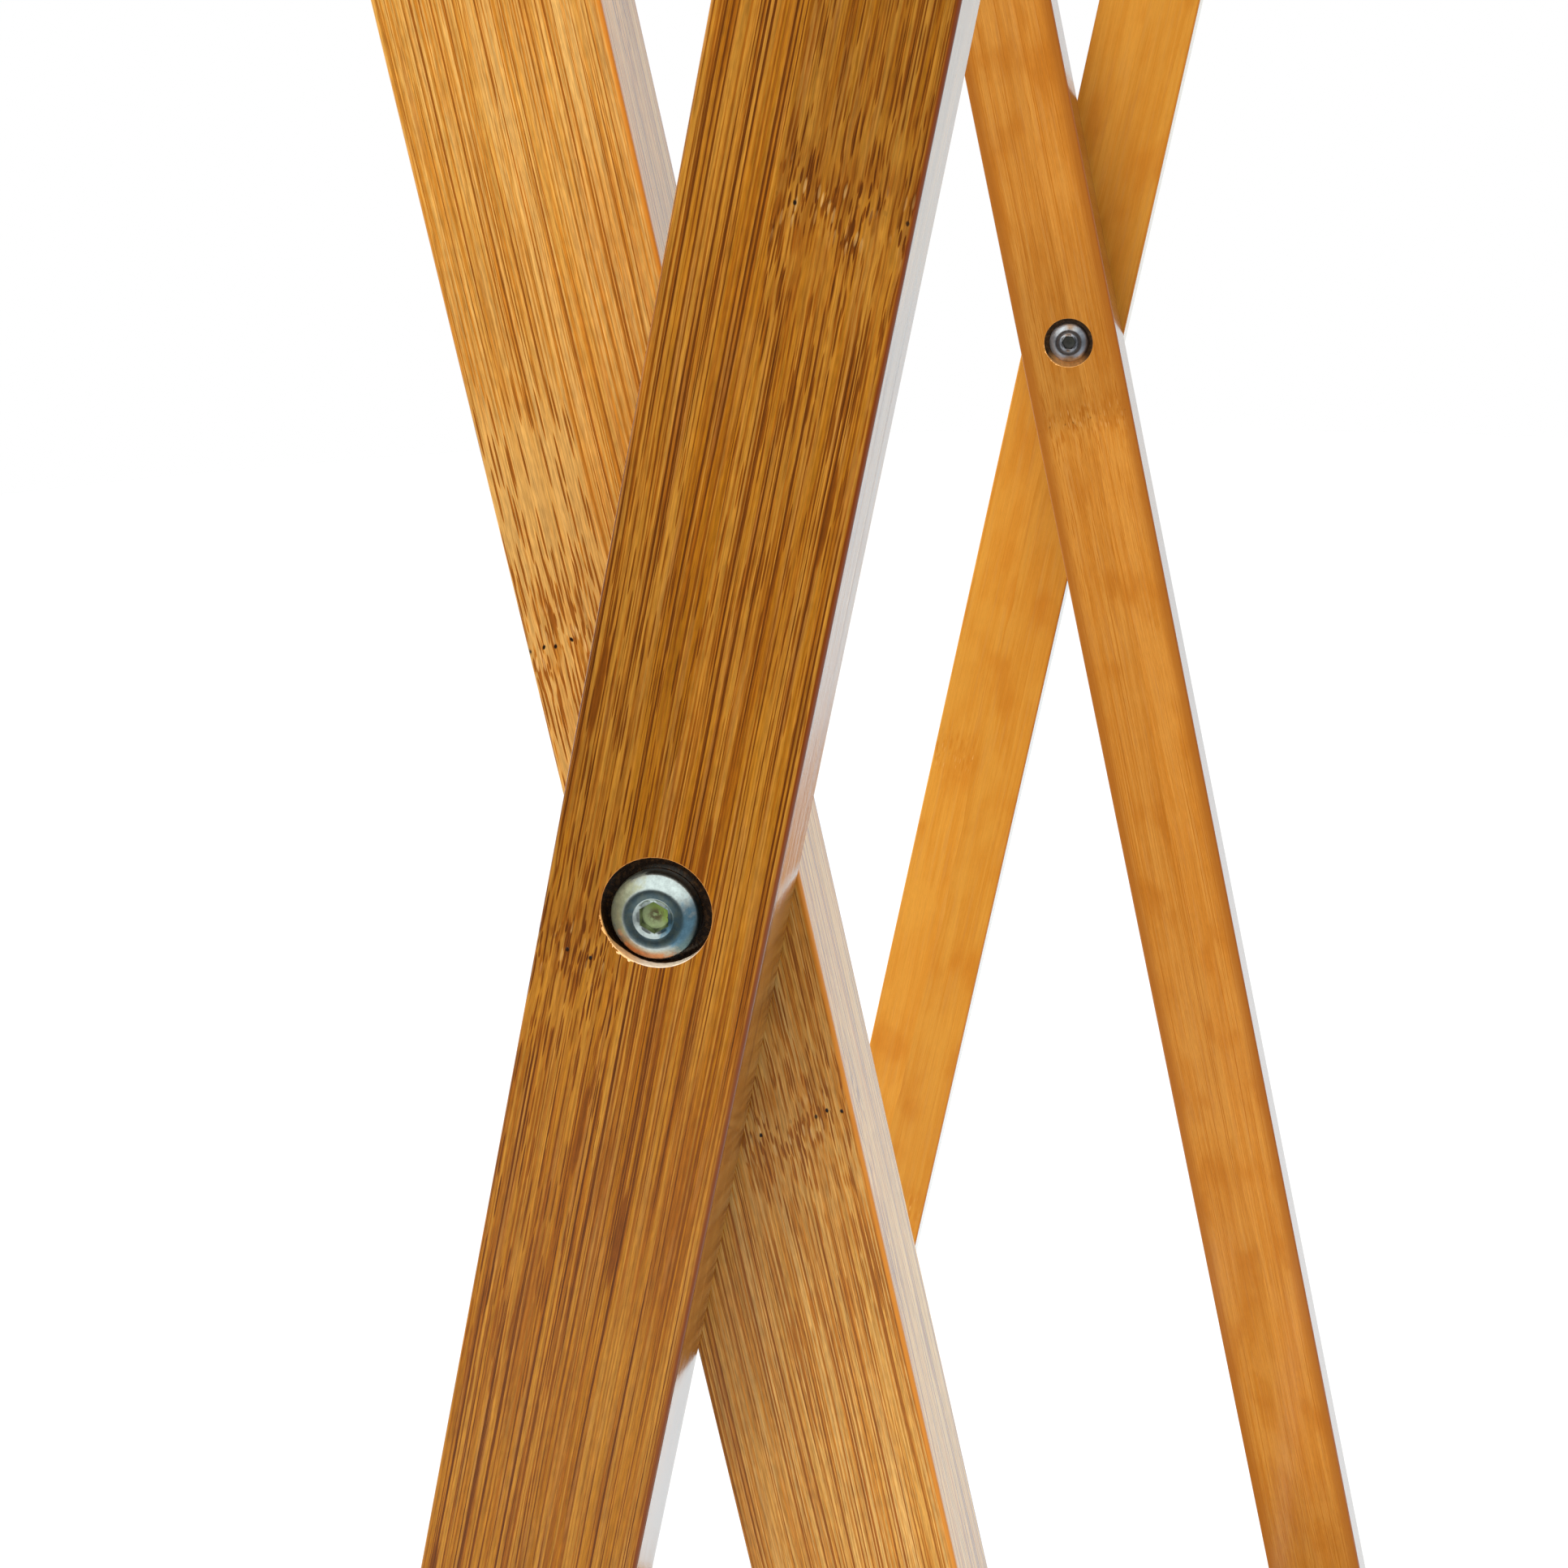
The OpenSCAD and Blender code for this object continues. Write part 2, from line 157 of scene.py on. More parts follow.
class Nodes:
    """Short calls that add nodes to one tree and link them."""

    def __init__(self, tree):
        self.tree = tree

    def add(self, kind, inputs=None, **settings):
        node = self.tree.nodes.new(kind)
        for key, value in settings.items():
            setattr(node, key, value)
        for key, value in (inputs or {}).items():
            if isinstance(value, bpy.types.NodeSocket):
                self.tree.links.new(value, node.inputs[key])
            else:
                node.inputs[key].default_value = value
        return node

    def link(self, value, socket):
        self.tree.links.new(value, socket)

    def math(self, operation, *values):
        node = self.add("ShaderNodeMath", dict(enumerate(values)), operation=operation)
        return node.outputs[0]

    def times(self, first, *others):
        for other in others:
            first = self.math("MULTIPLY", first, other)
        return first

    def plus(self, first, second):
        return self.math("ADD", first, second)

    def minus(self, first, second):
        return self.math("SUBTRACT", first, second)

    def larger(self, first, *others):
        for other in others:
            first = self.math("MAXIMUM", first, other)
        return first

    def smaller(self, first, *others):
        for other in others:
            first = self.math("MINIMUM", first, other)
        return first

    def unsigned(self, value):
        return self.math("ABSOLUTE", value)

    def line(self, value, slope, start):
        """Value times slope, plus start."""
        return self.math("MULTIPLY_ADD", value, slope, start)

    def vector(self, operation, *values):
        node = self.add("ShaderNodeVectorMath", dict(enumerate(values)), operation=operation)
        return node.outputs["Value" if operation in ("LENGTH", "DOT_PRODUCT") else 0]

    def along(self, vector, direction):
        return self.vector("DOT_PRODUCT", vector, direction)

    def join(self, x, y, z):
        return self.add("ShaderNodeCombineXYZ", {0: x, 1: y, 2: z}).outputs[0]

    def split(self, vector):
        return self.add("ShaderNodeSeparateXYZ", {0: vector}).outputs

    def noise(self, vector, periods, seed, detail=2.0, rough=0.5):
        """Smooth noise from 0 to 1 whose grains have these sizes along X, Y and perhaps Z."""
        sizes = [1 / p for p in periods] + [0] * (3 - len(periods))
        place = self.vector("MULTIPLY_ADD", vector, sizes, (seed * 1.7, seed * 3.1, seed * 5.3))
        return self.add("ShaderNodeTexNoise", {
            "Vector": place, "Scale": 1.0, "Detail": detail, "Roughness": rough,
        }, noise_dimensions=f"{len(periods)}D").outputs[0]

    def marks(self, vector, width, length, gap, seed, least=0.35):
        """Lens-shaped marks of this width and length in X and Y, scattered so that a line
        across them meets one in each gap. Each mark has its own strength, from least to 1."""
        reach = math.sqrt(width / gap) / 2
        place = self.vector("MULTIPLY_ADD", vector, (2 * reach / width, 2 * reach / length, 0),
                            (seed * 2.3, seed * 4.1, 0))
        cell = self.add("ShaderNodeTexVoronoi", {"Vector": place, "Scale": 1.0},
                        voronoi_dimensions="2D").outputs
        strength = self.step(self.split(cell["Color"])[0], 0.1, 0.9, least, 1.0)
        inside = self.step(cell["Distance"], reach * 1.25, reach * 0.7)
        return self.times(inside, strength)

    def step(self, value, start, end, low=0.0, high=1.0):
        """Goes smoothly from low at start to high at end."""
        flip = start > end
        return self.add("ShaderNodeMapRange", {
            0: value, 1: end if flip else start, 2: start if flip else end,
            3: high if flip else low, 4: low if flip else high,
        }, interpolation_type="SMOOTHSTEP").outputs[0]

    def blend(self, amount, first, second):
        node = self.add("ShaderNodeMix", {0: amount, 6: first, 7: second}, data_type="RGBA")
        return node.outputs[2]

    def scaled(self, vector, factor):
        """A place or a colour times one number."""
        return self.add("ShaderNodeVectorMath", {0: vector, "Scale": factor},
                        operation="SCALE").outputs[0]

    def object_place(self):
        return self.add("ShaderNodeTexCoord").outputs["Object"]

    def bump(self, height, strength, depth_mm):
        return self.add("ShaderNodeBump", {"Strength": strength, "Distance": depth_mm * MM,
                                           "Height": height}).outputs[0]


def new_group(name, inputs, outputs):
    """An empty shader group with these sockets, and calls to fill it."""
    tree = bpy.data.node_groups.new(name, "ShaderNodeTree")
    for label, kind, value in inputs:
        socket = tree.interface.new_socket(name=label, in_out="INPUT", socket_type=kind)
        socket.default_value = value
    for label, kind in outputs:
        tree.interface.new_socket(name=label, in_out="OUTPUT", socket_type=kind)
    return tree, Nodes(tree), tree.nodes.new("NodeGroupInput").outputs


def close_group(tree, values):
    last = tree.nodes.new("NodeGroupOutput")
    for label, value in values.items():
        tree.links.new(value, last.inputs[label])


def new_material(name):
    """A material with nodes, its tree's calls and its shader."""
    material = bpy.data.materials.new(name)
    material.use_nodes = True
    tree = material.node_tree
    return material, Nodes(tree), tree.nodes["Principled BSDF"]


def rgb(red, green, blue):
    return (red, green, blue, 1.0)


# ---------------------------------------------------------------- bamboo

# Pale, body, deep and fibre tones of the woods
DARK_TONES = (rgb(0.60, 0.275, 0.031), rgb(0.47, 0.180, 0.005),
              rgb(0.31, 0.088, 0.002), rgb(0.105, 0.026, 0.001))
LIGHT_TONES = (rgb(0.79, 0.485, 0.142), rgb(0.70, 0.382, 0.076),
               rgb(0.55, 0.214, 0.018), rgb(0.25, 0.075, 0.006))
FAR_INNER_TONES = (rgb(0.77, 0.37, 0.066), rgb(0.65, 0.27, 0.033),
                   rgb(0.52, 0.180, 0.012), rgb(0.32, 0.090, 0.006))
FAR_OUTER_TONES = (rgb(0.79, 0.41, 0.056), rgb(0.71, 0.33, 0.034),
                   rgb(0.60, 0.23, 0.015), rgb(0.42, 0.12, 0.010))
DUSK_TONE = rgb(0.34, 0.22, 0.12)
FLECK_TONE = rgb(0.95, 0.62, 0.26)
HOLE_TONE = rgb(0.012, 0.006, 0.003)

# Bare wood in a counterbore: its raw tone, its tone with painted light on its lower side, the dark
# and light tones of its painted shade deeper in, how many millimetres deep its lit lower side
# stays free of that painted shade, and how much of the painted light the rest of that side keeps
BORE_DEEP_SHADE = dict(raw=rgb(0.42, 0.17, 0.040), lit=rgb(0.95, 0.80, 0.60),
                dark=rgb(0.018, 0.008, 0.003), light=rgb(0.075, 0.033, 0.009),
                lit_depth=1.35, lit_rest=0.0)
BORE_SOFT_SHADE = dict(raw=rgb(0.50, 0.21, 0.050), lit=rgb(0.90, 0.46, 0.14),
                 dark=rgb(0.075, 0.045, 0.024), light=rgb(0.180, 0.095, 0.038),
                 lit_depth=3.0, lit_rest=0.6)
TORN_TONE = rgb(0.85, 0.45, 0.15)


def bamboo_group():
    """Laminated strip bamboo, from a place in millimetres: X through the layers, Y across
    the two strips, Z along the grain. Each strip vector holds its knuckle's place along the
    grain, the weight of its long fibres and the weight of its short ones."""
    tree, n, inlet = new_group("laminated bamboo", [
        ("Vector", "NodeSocketVector", (0, 0, 0)),
        ("Seed", "NodeSocketFloat", 0),
        ("Face", "NodeSocketFloat", 0),
        ("Seam", "NodeSocketFloat", 0),
        ("Strip A", "NodeSocketVector", (0, 1, 1)),
        ("Strip B", "NodeSocketVector", (0, 1, 1)),
        ("Tilt", "NodeSocketFloat", 0),
        ("Hole gap", "NodeSocketFloat", 2.5),
        ("Contrast", "NodeSocketFloat", 1),
        ("Cloud", "NodeSocketFloat", 0.25),
        ("Reach", "NodeSocketFloat", 1),
        ("Shade", "NodeSocketFloat", 0),
        ("Pale", "NodeSocketColor", rgb(0.6, 0.3, 0.1)),
        ("Body", "NodeSocketColor", rgb(0.4, 0.2, 0.05)),
        ("Deep", "NodeSocketColor", rgb(0.3, 0.1, 0.02)),
        ("Fibre", "NodeSocketColor", rgb(0.1, 0.04, 0.01)),
    ], [("Color", "NodeSocketColor"), ("Roughness", "NodeSocketFloat"),
        ("Height", "NodeSocketFloat")])
    place, seed, contrast = inlet["Vector"], inlet["Seed"], inlet["Contrast"]
    pale, deep, fibre = inlet["Pale"], inlet["Deep"], inlet["Fibre"]
    x, y, z = n.split(place)

    # Which strip and which layer a point is in, and that piece's own tone and fibres
    wander = n.noise(n.join(seed, 0, z), (1, 1, 55), 3, detail=3)
    seam_y = n.line(n.minus(wander, 0.5), SEAM_WANDER, inlet["Seam"])
    strip = n.math("GREATER_THAN", y, seam_y)
    depth = n.math("DIVIDE", n.minus(x, inlet["Face"]), LAYER_T)
    layer = n.math("FLOOR", n.plus(depth, 0.01))
    own = n.add("ShaderNodeTexWhiteNoise", {"Vector": n.join(strip, layer, seed)}).outputs
    shift = n.scaled(own["Color"], PIECE_SHIFT)
    seam_gap = n.unsigned(n.minus(y, seam_y))
    layer_gap = n.unsigned(n.minus(n.math("FRACT", n.plus(depth, 0.5)), 0.5))
    glue = n.larger(n.times(n.step(seam_gap, 0.35, 0.08), 0.5), n.step(layer_gap, 0.05, 0.015))
    trait = n.add("ShaderNodeMix", {0: strip, 4: inlet["Strip B"], 5: inlet["Strip A"]},
                  data_type="VECTOR").outputs[1]
    knuckle, long_weight, short_weight = n.split(trait)

    # Distance along the grain from the nearest knuckle of this strip
    knuckle = n.line(layer, LAYER_SHIFT, knuckle)
    along = n.math("WRAP", n.minus(z, knuckle), KNUCKLE_SPACING / 2, -KNUCKLE_SPACING / 2)
    ripple = n.noise(place, (5, 4, 60), 5, detail=3)
    along = n.line(n.minus(ripple, 0.5), 4.0, along)
    along = n.line(y, inlet["Tilt"], along)
    away = n.unsigned(along)
    near = n.step(away, *NEAR_KNUCKLE)
    core = n.step(away, *KNUCKLE_CORE)

    # Fibres waver at a knuckle and drift slowly elsewhere. The layers' own coordinate is
    # folded into the one across, so that faces and edges both show lines along the grain.
    sway = n.minus(n.noise(place, (3, 3, 8), 8), 0.5)
    sway = n.times(sway, n.times(near, 0.55))
    drift = n.minus(n.noise(n.vector("ADD", place, shift), (40, 30, 150), 9), 0.5)
    drift = n.times(drift, 3.0)
    across = n.plus(n.line(x, DEPTH_FOLD, y), n.plus(sway, drift))
    grain = n.vector("ADD", n.join(across, z, 0), shift)
    tone = {name: n.noise(grain, **sizes) for name, sizes in GRAIN_NOISES.items()}
    mark = {name: n.marks(grain, **sizes) for name, sizes in GRAIN_MARKS.items()}
    fine = tone["fine"]

    # Small holes in a row at the middle of a knuckle
    spot = n.add("ShaderNodeTexVoronoi", {
        "W": n.math("DIVIDE", n.plus(y, seed), inlet["Hole gap"]), "Scale": 1.0,
        "Randomness": 0.55}, voronoi_dimensions="1D").outputs
    luck = n.split(spot["Color"])[0]
    hole_y = n.times(spot["Distance"], inlet["Hole gap"])
    hole_z = n.times(n.line(n.minus(luck, 0.5), HOLE_SCATTER, along), 0.75)
    holes = n.step(n.vector("LENGTH", n.join(hole_y, hole_z, 0)), *HOLE_R)
    holes = n.times(holes, n.step(luck, 0.12, 0.35, 0.2, 1.0))

    # Short fibres lie round a knuckle. Where a strip is full of them its ground is pale and
    # its long fibres stop.
    zone = n.step(n.math("DIVIDE", away, inlet["Reach"]), *SHORT_REACH)
    clearing = n.times(zone, n.step(short_weight, 0.75, 0.95))
    far = n.minus(1.0, n.larger(n.times(near, 0.75), n.times(clearing, 0.85)))
    long_marks = n.larger(mark["thick"], n.times(mark["thin"], 0.7))
    long_marks = n.times(long_marks, n.times(long_weight, far))
    short_marks = n.larger(n.minus(mark["dashes"], n.minus(1.0, short_weight)), 0.0)
    short_marks = n.times(short_marks, n.line(zone, 0.75, 0.25))
    knots = n.times(n.larger(mark["flakes"], n.times(mark["chips"], core)), near)
    cluster = n.noise(grain, (4, 9), 24)
    knots = n.times(knots, n.step(cluster, 0.35, 0.60, 0.20, 1.0))
    smears = n.times(mark["smear"], long_weight, 0.6)
    marked = n.times(n.larger(long_marks, short_marks, knots, smears), contrast)

    # From the pale ground through its streaks to the darkest fibres
    colour = n.blend(n.step(tone["broad"], 0.36, 0.62), pale, inlet["Body"])
    streak = n.times(n.step(fine, 0.42, 0.66), n.step(long_weight, 0.1, 0.9, 0.3, 0.75), contrast,
                     n.line(clearing, -0.5, 1.0))
    colour = n.blend(streak, colour, deep)
    grey = n.times(n.step(tone["dusk"], 0.54, 0.70), 0.25)
    colour = n.blend(grey, colour, n.blend(0.5, pale, DUSK_TONE))
    colour = n.blend(n.times(mark["light"], n.times(contrast, 0.7)), colour, pale)
    dull = n.times(n.step(tone["cloud"], 0.50, 0.78), inlet["Cloud"])
    colour = n.blend(dull, colour, deep)
    clear = n.times(n.step(tone["cloud"], 0.48, 0.24), inlet["Cloud"])
    colour = n.blend(clear, colour, pale)
    amber = n.times(n.step(along, 0.5, 3.5), n.step(along, 9.0, 4.5),
                    n.line(inlet["Shade"], 2.0, 0.1))
    colour = n.blend(amber, colour, deep)
    bleached = n.larger(n.times(near, short_weight, 0.45), n.times(clearing, 0.5))
    colour = n.blend(bleached, colour, pale)
    bruise = n.times(mark["bruise"], n.step(away, *BRUISE_REACH),
                     n.step(fine, 0.30, 0.60, 0.2, 0.9))
    colour = n.blend(bruise, colour, deep)
    colour = n.blend(n.step(marked, 0.05, 0.50), colour, deep)
    colour = n.blend(n.step(marked, 0.25, 0.85), colour, fibre)
    glint = n.times(mark["flecks"], n.step(away, *GLINT_REACH), n.step(cluster, 0.38, 0.56))
    colour = n.blend(glint, colour, n.blend(0.4, pale, FLECK_TONE))
    colour = n.blend(n.times(glue, 0.45), colour, fibre)

    # Each piece's own level, the darker wood beside a knuckle, and the finest fuzz
    shaded = n.times(n.step(along, -7, 3), n.step(along, 75, 28), inlet["Shade"])
    fuzz = n.plus(n.step(tone["hair"], 0.25, 0.75, -0.14, 0.13),
                  n.step(n.noise(grain, (0.30, 2.4), 25), 0.28, 0.72, -0.09, 0.09))
    level = n.times(n.line(own["Value"], 0.16, 0.92), n.minus(1.0, shaded),
                    n.line(fuzz, contrast, 1.0))
    colour = n.scaled(colour, level)
    colour = n.blend(n.times(holes, n.step(contrast, 0.2, 0.9)), colour, HOLE_TONE)

    height = n.minus(n.times(fine, 0.25), n.times(marked, 0.45))
    height = n.minus(height, n.line(holes, 3.0, n.times(glue, 0.5)))
    close_group(tree, {"Color": colour, "Roughness": n.line(fine, 0.18, 0.34), "Height": height})
    return tree


BAMBOO = bamboo_group()


def counterbored(n, coords, colour, rough, bores, bore_face, cut):
    """Bare wood where counterbores along X cut through the lacquer: pale at their mouths,
    with painted light on the lower side and painted shade further in. Returns the new colour and
    roughness."""
    # Distances from the nearest bore's axis, and the direction from the first one's, the pivot's
    off_axis = [n.vector("MULTIPLY", n.vector("SUBTRACT", coords, bore), (0, 1 / MM, 1 / MM))
                for bore in bores]
    aim = n.vector("NORMALIZE", off_axis[0])
    radius = n.smaller(*[n.vector("LENGTH", gap) for gap in off_axis])
    torn = n.noise(coords, (0.7 * MM, 0.7 * MM, 0.7 * MM), 31, detail=3)
    ragged = n.step(n.along(aim, (0, 0.8, -0.6)), 0.75, 0.95)
    radius = n.minus(radius, n.times(n.step(torn, 0.40, 0.75), ragged, 0.45))
    bare = n.step(radius, COUNTERBORE_R + 0.10, COUNTERBORE_R + 0.02)
    depth = n.unsigned(n.minus(n.times(n.split(coords)[0], 1 / MM), bore_face / MM))

    # Painted light: the lower side of the bore is paler, as if lit from above
    lit = n.step(n.along(aim, (0, 0.05, -1)), 0.45, 0.88)
    bare_and_lit = n.blend(lit, cut["raw"], cut["lit"])
    bare_and_lit = n.blend(n.times(ragged, 0.8), bare_and_lit, TORN_TONE)
    bare_and_lit = n.scaled(bare_and_lit, n.step(torn, 0.3, 0.7, 0.85, 1.12))
    # Painted shade deeper in the bore, in a dark and a lighter tone
    bore_shade = n.blend(n.step(torn, 0.45, 0.75), cut["dark"], cut["light"])
    bore_shade = n.blend(n.times(lit, cut["lit_rest"]), bore_shade, bare_and_lit)
    # The painted shade starts a little way in, and deeper on the lit lower side
    deep_shade = n.step(n.minus(depth, n.times(lit, cut["lit_depth"])), 0.2, 0.6)
    colour = n.blend(bare, colour, n.blend(deep_shade, bare_and_lit, bore_shade))
    return colour, n.larger(rough, n.times(bare, 0.8))


def bamboo(name, place, turn, face, tones, seed, seam=0.0, strips=((0, 1, 0.5), (0, 1, 0.5)),
           tilt=0.0, hole_gap=2.6, contrast=1.0, cloud=0.25, reach=1.0, shade=0.05,
           bores=(), bore_face=None, cut=BORE_DEEP_SHADE, red_edge=None, margins=None):
    """A lacquered bamboo material. place and turn set the grain's own axes in the object."""
    material, n, shader = new_material(name)
    coords = n.object_place()
    local = n.add("ShaderNodeMapping", {"Vector": coords, "Location": place, "Rotation": turn,
                                        "Scale": (MM, MM, MM)}, vector_type="TEXTURE").outputs[0]
    wood = n.add("ShaderNodeGroup", {
        "Vector": local, "Seed": seed, "Face": face, "Seam": seam,
        "Strip A": strips[0], "Strip B": strips[1], "Tilt": tilt, "Hole gap": hole_gap,
        "Contrast": contrast, "Cloud": cloud, "Reach": reach, "Shade": shade,
        "Pale": tones[0], "Body": tones[1], "Deep": tones[2], "Fibre": tones[3],
    }, node_tree=BAMBOO).outputs
    colour, rough = wood["Color"], wood["Roughness"]
    x, y, _ = n.split(local)
    if margins:
        # Painted shade and reflection in a band along both long edges, where they round over
        width, tone = margins
        margin_shade = n.step(n.unsigned(y), STILE_HALF - width, STILE_HALF - 1.0, 0.0, 0.85)
        colour = n.blend(margin_shade, colour, tone)
    if red_edge:
        # Painted shade in a thin warm dark line along one long edge of the face, where it rounds
        # over
        edge = n.times(n.step(y, 0.85 - STILE_HALF, 0.35 - STILE_HALF),
                       n.step(n.unsigned(n.minus(x, face)), 1.3, 0.6))
        colour = n.blend(n.times(edge, 0.9), colour, red_edge)
    if bores:
        colour, rough = counterbored(n, coords, colour, rough, bores, bore_face, cut)
    n.link(colour, shader.inputs["Base Color"])
    n.link(rough, shader.inputs["Roughness"])
    n.link(n.bump(wood["Height"], 0.35, 0.12), shader.inputs["Normal"])
    n.link(n.bump(wood["Height"], 0.12, 0.10), shader.inputs["Coat Normal"])
    shader.inputs["Specular IOR Level"].default_value = 0.03
    shader.inputs["Coat Weight"].default_value = 1.0
    shader.inputs["Coat Roughness"].default_value = 0.09
    shader.inputs["Coat IOR"].default_value = 1.55
    return material


# ---------------------------------------------------------------- other materials

def zinc(name, silver, highlight, blue, olive, copper, annulus, socket, seed, rough=0.30):
    """Passivated zinc, whose tints change round a fastener's head, with a painted highlight on one
    side and tints placed as painted reflections. The fastener's own place in millimetres has Z out
    of the head, whose top is at HEAD_H. socket holds the tones of a socket's bottom: its film, its
    stains and its pale side."""
    material, n, shader = new_material(name)
    own = n.add("ShaderNodeAttribute", attribute_name="own").outputs["Vector"]
    world = n.scaled(n.object_place(), 1 / MM)
    x, y, z = n.split(own)
    off_axis = n.join(x, y, 0)
    radius = n.vector("LENGTH", off_axis)
    aim = n.vector("NORMALIZE", off_axis)
    patch = n.noise(world, (2.2, 2.2, 2.2), seed, detail=3)
    mottle = n.noise(world, (0.9, 0.9, 0.9), seed + 3, detail=3, rough=0.6)
    grain = n.noise(world, (0.25, 0.25, 0.25), seed + 7, detail=3, rough=0.7)
    uneven = n.line(n.minus(patch, 0.5), 1.0, n.times(n.minus(mottle, 0.5), 0.9))

    def side(direction, start, end):
        """How far a point lies to one side of the axis, with an uneven border."""
        return n.step(n.plus(n.along(aim, direction), uneven), start, end)

    # The head's ring: a painted highlight on one side, and blue, olive and copper at the others,
    # passivation tints placed as painted reflections
    colour = n.blend(side((0.98, -0.15, 0), 0.35, 0.85), silver, highlight)
    colour = n.blend(n.times(side((-0.35, -0.94, 0), 0.45, 0.95), 0.9), colour, blue)
    film = n.times(side((0.30, 0.95, 0), 0.35, 0.90),
                   n.step(radius, HEAD_FLAT_R - 0.15, HEAD_FLAT_R + 0.35, 0, 0.8))
    colour = n.blend(film, colour, olive)
    colour = n.blend(n.times(side((-0.95, 0.3, 0), 0.55, 0.95), n.step(radius, 4.6, 5.3)),
                     colour, copper)

    # Its flat top, from the socket's rim to the ring, whose dark tone is partly a painted
    # reflection of the dim room
    flat = n.times(n.step(radius, HEAD_FLAT_R + 0.15, HEAD_FLAT_R - 0.35),
                   n.step(z, HEAD_H - 0.3, HEAD_H - 0.1),
                   n.step(radius, SOCKET_RIM_R - 0.06, SOCKET_RIM_R + 0.04))
    mottled_top = n.blend(n.step(mottle, 0.40, 0.65), annulus, n.blend(0.35, annulus, olive))
    colour = n.blend(n.times(flat, 0.85), colour, mottled_top)

    # Its socket: painted shade on its sides, and a stained bottom whose film is palest at one side
    inside = n.times(n.step(radius, SOCKET_MOUTH_R - 0.01, SOCKET_MOUTH_R - 0.11),
                     n.step(z, HEAD_H - 0.50, HEAD_H - 0.62),
                     n.step(z, HEAD_H - 3.2, HEAD_H - 3.0))
    colour = n.blend(n.times(inside, 0.75), colour, n.blend(0.7, socket[0], socket[1]))
    slant = n.plus(n.along(own, (0.5, -0.5, 0)), uneven)
    stain = n.blend(n.step(slant, -0.3, 0.7), socket[2], socket[0])
    blot = n.times(n.step(radius, 1.6, 0.4), n.step(mottle, 0.36, 0.52))
    stain = n.blend(n.larger(blot, n.step(mottle, 0.56, 0.72)), stain, socket[1])
    bottom = n.times(inside, n.step(radius, 1.95, 1.7))
    colour = n.blend(bottom, colour, stain)

    colour = n.scaled(colour, n.times(n.step(grain, 0.2, 0.8, 0.88, 1.08),
                                      n.step(mottle, 0.3, 0.7, 0.84, 1.12)))
    n.link(colour, shader.inputs["Base Color"])
    n.link(n.line(inside, 0.15, n.line(grain, 0.12, rough - 0.06)), shader.inputs["Roughness"])
    matt = n.larger(n.times(bottom, 0.8), n.times(film, 0.45))
    n.link(n.minus(1.0, matt), shader.inputs["Metallic"])
    n.link(n.bump(grain, 0.15, 0.02), shader.inputs["Normal"])
    return material


def moulded(name, tone, seed, rough, grain_mm):
    """Moulded nylon or rubber with a fine matt grain and faint flow marks."""
    material, n, shader = new_material(name)
    place = n.scaled(n.object_place(), 1 / MM)
    grain = n.noise(place, (grain_mm, grain_mm, grain_mm), seed, detail=3, rough=0.7)
    flow = n.noise(place, (9, 9, 3), seed + 2)
    level = n.times(n.step(grain, 0.2, 0.8, 0.88, 1.08), n.step(flow, 0.3, 0.7, 0.94, 1.05))
    n.link(n.scaled(tone, level), shader.inputs["Base Color"])
    n.link(n.line(grain, 0.2, rough - 0.1), shader.inputs["Roughness"])
    n.link(n.bump(grain, 0.4, 0.05), shader.inputs["Normal"])
    return material


BRIGHT_ZINC = zinc(
    "blue and yellow zinc", silver=rgb(0.62, 0.66, 0.62), highlight=rgb(0.80, 0.86, 0.80),
    blue=rgb(0.10, 0.24, 0.34), olive=rgb(0.28, 0.27, 0.11), copper=rgb(0.66, 0.34, 0.18),
    annulus=rgb(0.17, 0.275, 0.32),
    socket=(rgb(0.25, 0.36, 0.060), rgb(0.10, 0.08, 0.030), rgb(0.34, 0.42, 0.20)), seed=41)
GREY_ZINC = zinc(
    "grey zinc", silver=rgb(0.30, 0.29, 0.31), highlight=rgb(0.80, 0.78, 0.78),
    blue=rgb(0.28, 0.28, 0.31), olive=rgb(0.26, 0.25, 0.25), copper=rgb(0.42, 0.39, 0.40),
    annulus=rgb(0.26, 0.25, 0.26),
    socket=(rgb(0.055, 0.060, 0.048), rgb(0.030, 0.032, 0.028), rgb(0.060, 0.062, 0.055)),
    seed=52)
NYLON = moulded("white nylon", (0.72, 0.71, 0.67), seed=61, rough=0.42, grain_mm=0.5)
RUBBER = moulded("dark rubber", (0.030, 0.029, 0.028), seed=66, rough=0.60, grain_mm=0.35)


# ---------------------------------------------------------------- finishes on the CAD pieces

def finish_node(node, material):
    """Puts a material on a CAD node's own slots."""
    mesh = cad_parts[node].data
    if not mesh.materials:
        mesh.materials.append(material)
    for i in range(len(mesh.materials)):
        mesh.materials[i] = material


def finish_stile(node, lean_sign, tones, seed, bored_rungs, bore_at_low, **details):
    """A stile's own grain, from the face towards the left, and its bare counterbores: the
    pivot's and those of the rungs' bolts."""
    low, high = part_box(node)
    material = bamboo(
        node + " bamboo", tuple(CROSSING), (lean_sign * LEAN, 0, 0), low.x / MM, tones, seed,
        bores=[tuple(CROSSING)] + [tuple(centre(rung)) for rung in bored_rungs],
        bore_face=low.x if bore_at_low else high.x, **details)
    finish_node(node, material)


